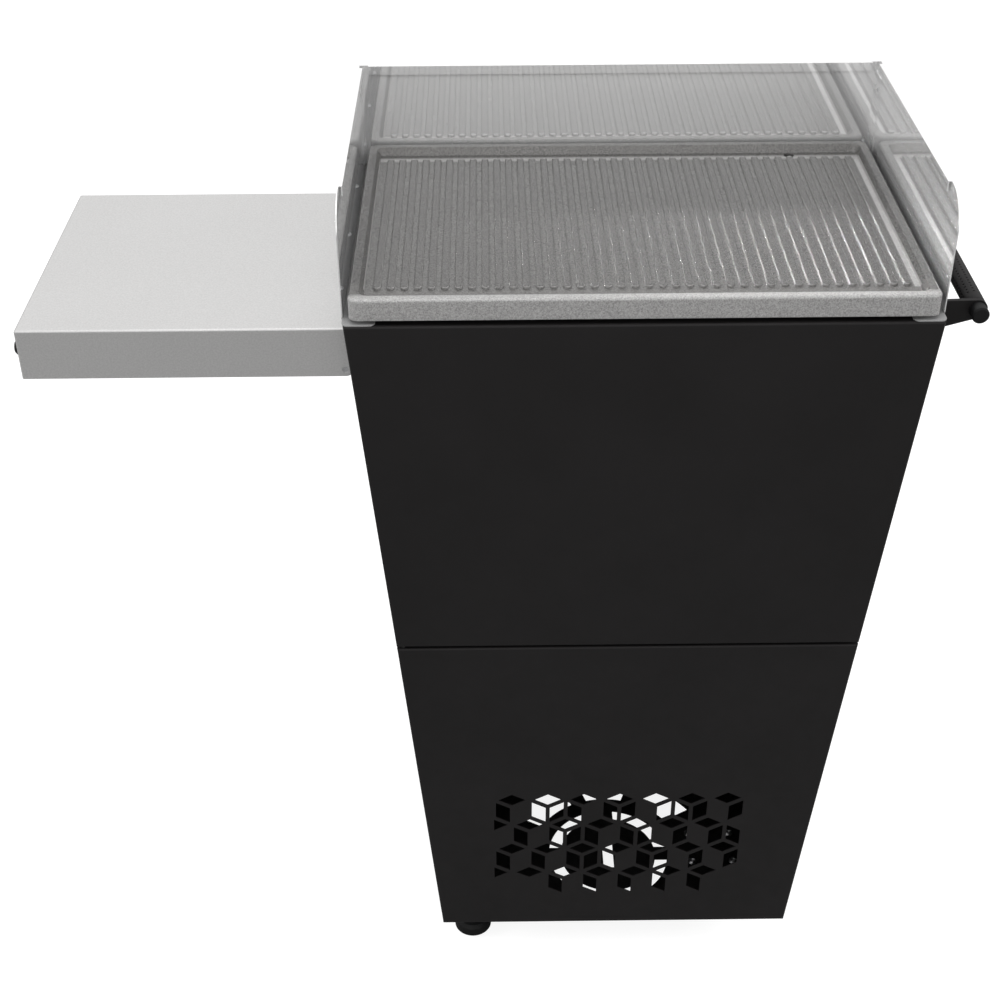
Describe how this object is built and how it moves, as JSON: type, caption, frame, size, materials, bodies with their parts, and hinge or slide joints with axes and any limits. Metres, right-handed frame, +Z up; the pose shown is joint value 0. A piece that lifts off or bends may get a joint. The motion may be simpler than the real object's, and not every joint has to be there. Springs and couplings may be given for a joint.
{
  "type": "barbecue grill",
  "caption": "Free-standing gas plate grill: tapered black steel cabinet with a pierced cube-pattern door, ribbed griddle plate in a wind shield, folding side table and push handle.",
  "frame": {"origin": "on the floor, under the middle of the whole grill's box", "axes": "+Z up, -Y towards the user in front of the door, -X towards the folding side table"},
  "size_m": [0.9984, 0.408, 1.058],
  "materials": {
    "black_powder_coat": "fine matt powder coat",
    "stainless_sheet": "satin",
    "stone_grey_casting": "grainy grey coating",
    "plated_steel": "zinc plated",
    "burner_steel": "aluminised, dull",
    "brass": "machined",
    "black_plastic": "matt",
    "black_rubber": "matt",
    "white_ceramic": "glazed"
  },
  "bodies": {
    "cabinet": {"right_side_wall": "black_powder_coat", "left_side_wall": "black_powder_coat", "upper_front_panel": "black_powder_coat", "rear_panel": "black_powder_coat", "bottom_plate": "black_powder_coat", "rear_table_bracket": "black_powder_coat", "front_table_bracket": "black_powder_coat", "handle_tube": "black_powder_coat", "rear_handle_bracket": "black_powder_coat", "front_handle_bracket": "black_powder_coat", "upper_hinge_bracket": "black_powder_coat", "lower_hinge_bracket": "black_powder_coat", "right_shield": "stainless_sheet", "left_shield": "stainless_sheet", "rear_shield": "stainless_sheet", "front_panel_screws": "plated_steel", "rear_panel_screws": "plated_steel", "shield_screws": "plated_steel", "hinge_pins": "plated_steel", "table_pins": "plated_steel", "table_bracket_bolts": "plated_steel", "handle_bolts": "plated_steel", "foot_nuts": "plated_steel", "caster_bolts": "plated_steel", "caster_axles": "plated_steel", "rear_caster_fork": "plated_steel", "front_caster_fork": "plated_steel", "manifold_pipe": "plated_steel", "right_drawer_runner": "plated_steel", "left_drawer_runner": "plated_steel", "burner_box": "burner_steel", "rear_burner": "burner_steel", "front_burner": "burner_steel", "front_valve": "brass", "rear_valve": "brass", "gas_inlet": "brass", "front_bezel": "black_plastic", "rear_bezel": "black_plastic", "igniter_body": "black_plastic", "handle_caps": "black_plastic", "magnet_catch": "black_plastic", "rear_foot": "black_plastic", "front_foot": "black_plastic", "ignition_electrodes": "white_ceramic"},
    "door": {"door": "black_powder_coat"},
    "side_table": {"side_table": "stainless_sheet", "table_bumpers": "black_rubber"},
    "griddle": {"griddle_plate": "stone_grey_casting"},
    "grease_drawer": {"grease_drawer": "burner_steel"},
    "front_plug": {"front_valve_plug": "brass"},
    "rear_plug": {"rear_valve_plug": "brass"},
    "front_knob": {"front_knob": "black_plastic", "front_spindle": "plated_steel"},
    "rear_knob": {"rear_knob": "black_plastic", "rear_spindle": "plated_steel"},
    "igniter_button": {"igniter_button": "black_plastic"},
    "front_wheel": {"front_caster_wheel": "black_rubber"},
    "rear_wheel": {"rear_caster_wheel": "black_rubber"}
  },
  "joints": [
    {"name": "door_hinge", "type": "hinge", "parent": "cabinet", "child": "door", "pos_m": [-0.07002, -0.197, 0.055], "axis": [0.0885, 0, -0.9961], "range_deg": [0, 95]},
    {"name": "table_fold", "type": "hinge", "parent": "cabinet", "child": "side_table", "pos_m": [-0.1584, -0.0015, 0.867], "axis": [0, -1, 0], "range_deg": [0, 90]},
    {"name": "griddle_lift", "type": "slide", "parent": "cabinet", "child": "griddle", "axis": [0, 0, 1], "range_m": [0, 0.2]},
    {"name": "grease_drawer_slide", "type": "slide", "parent": "cabinet", "child": "grease_drawer", "axis": [0, 1, 0], "range_m": [0, 0.14]},
    {"name": "front_knob_turn", "type": "hinge", "parent": "cabinet", "child": "front_plug", "pos_m": [0.43797, -0.0815, 0.87], "axis": [0.9961, 0, -0.0885], "range_deg": [0, 220]},
    {"name": "front_knob_press", "type": "slide", "parent": "front_plug", "child": "front_knob", "axis": [-0.9961, 0, 0.0885], "range_m": [0, 0.0025], "stiffness_N_per_m": 2000},
    {"name": "rear_knob_turn", "type": "hinge", "parent": "cabinet", "child": "rear_plug", "pos_m": [0.43797, 0.0785, 0.87], "axis": [0.9961, 0, -0.0885], "range_deg": [0, 220]},
    {"name": "rear_knob_press", "type": "slide", "parent": "rear_plug", "child": "rear_knob", "axis": [-0.9961, 0, 0.0885], "range_m": [0, 0.0025], "stiffness_N_per_m": 2000},
    {"name": "igniter_press", "type": "slide", "parent": "cabinet", "child": "igniter_button", "axis": [-0.9961, 0, 0.0885], "range_m": [0, 0.005], "stiffness_N_per_m": 1500},
    {"name": "front_wheel_spin", "type": "hinge", "parent": "cabinet", "child": "front_wheel", "pos_m": [0.28525, -0.08, 0.022], "axis": [0, 1, 0], "continuous": true},
    {"name": "rear_wheel_spin", "type": "hinge", "parent": "cabinet", "child": "rear_wheel", "pos_m": [0.28525, 0.077, 0.022], "axis": [0, 1, 0], "continuous": true}
  ]
}
